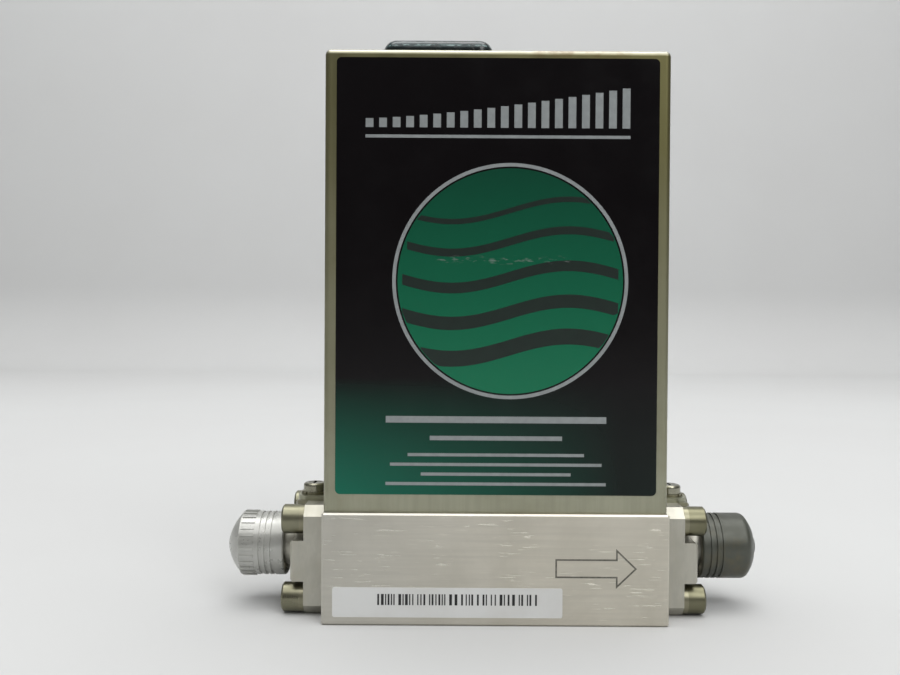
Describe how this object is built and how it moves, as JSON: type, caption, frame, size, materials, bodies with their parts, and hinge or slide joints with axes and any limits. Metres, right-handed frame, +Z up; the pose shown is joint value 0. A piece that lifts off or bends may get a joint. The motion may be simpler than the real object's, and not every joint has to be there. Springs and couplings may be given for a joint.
{
  "type": "thermal mass flow controller",
  "caption": "Thermal mass flow controller: steel flow block with face-seal end fittings and protective caps, tall sheet-metal cover, top connector with dust cap.",
  "frame": {"origin": "centre of the base block's bottom face", "axes": "+X along the flow from inlet to outlet, +Y to the back, +Z up"},
  "size_m": [0.1286, 0.0383, 0.1364],
  "materials": {
    "block_steel": "satin, scratched along the block",
    "fitting_steel": "machined",
    "seal_rubber": "matte",
    "socket_screw_steel": "bright",
    "washer_steel": "bright",
    "silver_cap_plastic": "silver, satin",
    "dark_cap_plastic": "dark grey, soft gloss",
    "cover_steel": "satin",
    "small_screw_steel": "bright",
    "label_film": "glossy black film",
    "white_paper": "satin white",
    "connector_plate": "plated",
    "black_plastic": "matte black",
    "pin_brass": "bright",
    "vinyl_cap": "soft gloss black",
    "coil_enamel": "enamelled wire",
    "sensor_can_aluminium": "satin",
    "yoke_steel": "grey plated",
    "board_laminate": "green lacquer",
    "capacitor_can": "satin",
    "resistor_ceramic": "satin",
    "trimmer_plastic": "blue plastic"
  },
  "bodies": {
    "controller": {"base_block": "block_steel", "inlet_fitting": "fitting_steel", "outlet_fitting": "fitting_steel", "inlet_fitting_seal": "seal_rubber", "outlet_fitting_seal": "seal_rubber", "inlet_fitting_screws": "socket_screw_steel", "outlet_fitting_screws": "socket_screw_steel", "inlet_lock_washers": "washer_steel", "outlet_lock_washers": "washer_steel", "cover": "cover_steel", "cover_screws": "small_screw_steel", "cover_washers": "washer_steel", "front_label": "label_film", "serial_label": "white_paper", "connector_shell": "connector_plate", "connector_insulator": "black_plastic", "connector_pins": "pin_brass", "connector_posts": "small_screw_steel", "sensor_base": "fitting_steel", "sensor_tube": "fitting_steel", "sensor_windings": "coil_enamel", "sensor_can": "sensor_can_aluminium", "sensor_seals": "seal_rubber", "sensor_screws": "small_screw_steel", "bypass_element": "fitting_steel", "bypass_spacer": "fitting_steel", "inlet_screen": "fitting_steel", "valve_seat": "fitting_steel", "seat_seal": "seal_rubber", "guide_tube": "fitting_steel", "guide_tube_seal": "seal_rubber", "valve_spring": "small_screw_steel", "valve_plate": "fitting_steel", "valve_plate_screws": "small_screw_steel", "coil_yoke": "yoke_steel", "coil_bobbin": "black_plastic", "coil_winding": "coil_enamel", "coil_top_plate": "yoke_steel", "coil_nut": "small_screw_steel", "main_board": "board_laminate", "board_bracket": "cover_steel", "bracket_screws": "small_screw_steel", "board_screws": "small_screw_steel", "board_chips": "black_plastic", "board_capacitors": "capacitor_can", "board_resistors": "resistor_ceramic", "trimmer_bodies": "trimmer_plastic"},
    "inlet_cap_body": {"inlet_cap": "silver_cap_plastic"},
    "outlet_cap_body": {"outlet_cap": "dark_cap_plastic"},
    "dust_cap_body": {"connector_dust_cap": "vinyl_cap"},
    "plunger_body": {"valve_plunger": "fitting_steel", "plunger_disc": "seal_rubber"},
    "zero_adjuster_body": {"zero_adjuster": "pin_brass"},
    "span_adjuster_body": {"span_adjuster": "pin_brass"}
  },
  "joints": [
    {"name": "inlet_cap_slide", "type": "slide", "parent": "controller", "child": "inlet_cap_body", "axis": [-1, 0, 0], "range_m": [0, 0.016]},
    {"name": "outlet_cap_slide", "type": "slide", "parent": "controller", "child": "outlet_cap_body", "axis": [1, 0, 0], "range_m": [0, 0.016]},
    {"name": "dust_cap_slide", "type": "slide", "parent": "controller", "child": "dust_cap_body", "axis": [0, 0, 1], "range_m": [0, 0.01]},
    {"name": "plunger_lift", "type": "slide", "parent": "controller", "child": "plunger_body", "axis": [0, 0, 1], "range_m": [0, 0.0003], "stiffness_N_per_m": 800, "deforming": ["valve_spring"]},
    {"name": "zero_adjuster_turn", "type": "hinge", "parent": "controller", "child": "zero_adjuster_body", "pos_m": [-0.035, -0.0032, 0.104], "axis": [-1, 0, 0], "continuous": true},
    {"name": "span_adjuster_turn", "type": "hinge", "parent": "controller", "child": "span_adjuster_body", "pos_m": [-0.035, -0.0032, 0.09], "axis": [-1, 0, 0], "continuous": true}
  ]
}
